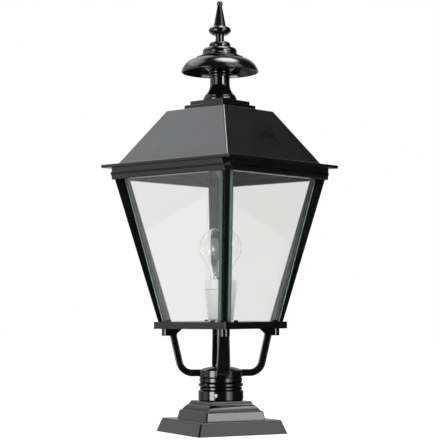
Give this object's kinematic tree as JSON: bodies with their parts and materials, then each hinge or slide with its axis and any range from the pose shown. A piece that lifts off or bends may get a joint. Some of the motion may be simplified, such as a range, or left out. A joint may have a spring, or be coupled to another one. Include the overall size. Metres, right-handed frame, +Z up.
{
  "type": "post top lantern",
  "caption": "Black post top lantern with a square tapered glazed cage on a spider of arms, a hooded roof with a finial, a clear bulb and a square plinth.",
  "frame": {"origin": "centre of the plinth's underside, on the lantern's upright axis", "axes": "+Z up through the finial; the head's glass faces are square to X and Y, its corners are on the diagonals, and the plinth is turned -21.6 degrees about Z"},
  "size_m": [0.25, 0.25, 0.6397],
  "materials": {
    "black_paint": "gloss",
    "zinc_steel": "satin",
    "brass": "satin",
    "porcelain": "gloss",
    "pane_glass": "clear",
    "bulb_glass": "clear",
    "cap_metal": "satin",
    "cap_insulator": "gloss",
    "terminal_plastic": "matte",
    "filament_wire": "satin"
  },
  "bodies": {
    "base": {"plinth": "black_paint", "spigot": "zinc_steel", "spigot_screws": "zinc_steel", "terminal_block": "terminal_plastic", "earth_stud": "brass", "earth_nut": "brass"},
    "head": {"sleeve": "black_paint", "slim_ring": "black_paint", "collar": "black_paint", "hub": "black_paint", "arm_1": "black_paint", "arm_2": "black_paint", "arm_3": "black_paint", "arm_4": "black_paint", "bottom_frame": "black_paint", "floor_plate": "black_paint", "corner_post_1": "black_paint", "corner_post_2": "black_paint", "corner_post_3": "black_paint", "corner_post_4": "black_paint", "glass_clips": "black_paint", "fascia": "black_paint", "corner_screws": "black_paint", "holder_base": "black_paint", "stem_tube": "zinc_steel", "sleeve_grubs": "zinc_steel", "lock_grub": "zinc_steel", "arm_screws": "zinc_steel", "arm_bolts": "zinc_steel", "post_screws": "zinc_steel", "strap": "zinc_steel", "strap_screws": "zinc_steel", "tie_rod": "zinc_steel", "rod_nuts": "zinc_steel", "lamp_tube": "brass", "tube_nuts": "brass", "screw_shell": "brass", "centre_contact": "brass", "holder_body": "porcelain", "holder_ring": "porcelain", "contact_block": "porcelain", "glass_pane_1": "pane_glass", "glass_pane_2": "pane_glass", "glass_pane_3": "pane_glass", "glass_pane_4": "pane_glass"},
    "roof": {"eaves_plate": "black_paint", "roof_shell": "black_paint", "roof_cap_lower": "black_paint", "roof_cap_upper": "black_paint", "neck": "black_paint", "hood": "black_paint", "hood_drum": "black_paint", "hood_hat": "black_paint"},
    "finial": {"finial": "black_paint"},
    "bulb": {"bulb_glass": "bulb_glass", "bulb_cap": "cap_metal", "bulb_insulator": "cap_insulator", "bulb_stem": "bulb_glass", "filament": "filament_wire"}
  },
  "joints": [
    {"name": "head_turn", "type": "hinge", "parent": "base", "child": "head", "pos_m": [0, 0, 0.0464], "axis": [0, 0, 1], "range_deg": [-175, 175]},
    {"name": "roof_lift", "type": "slide", "parent": "head", "child": "roof", "axis": [0, 0, 1], "range_m": [0, 0.12]},
    {"name": "finial_turn", "type": "hinge", "parent": "roof", "child": "finial", "pos_m": [0, 0, 0.5779], "axis": [0, 0, 1], "continuous": true},
    {"name": "bulb_out", "type": "slide", "parent": "head", "child": "bulb", "axis": [0, 0, 1], "range_m": [0, 0.03]}
  ]
}
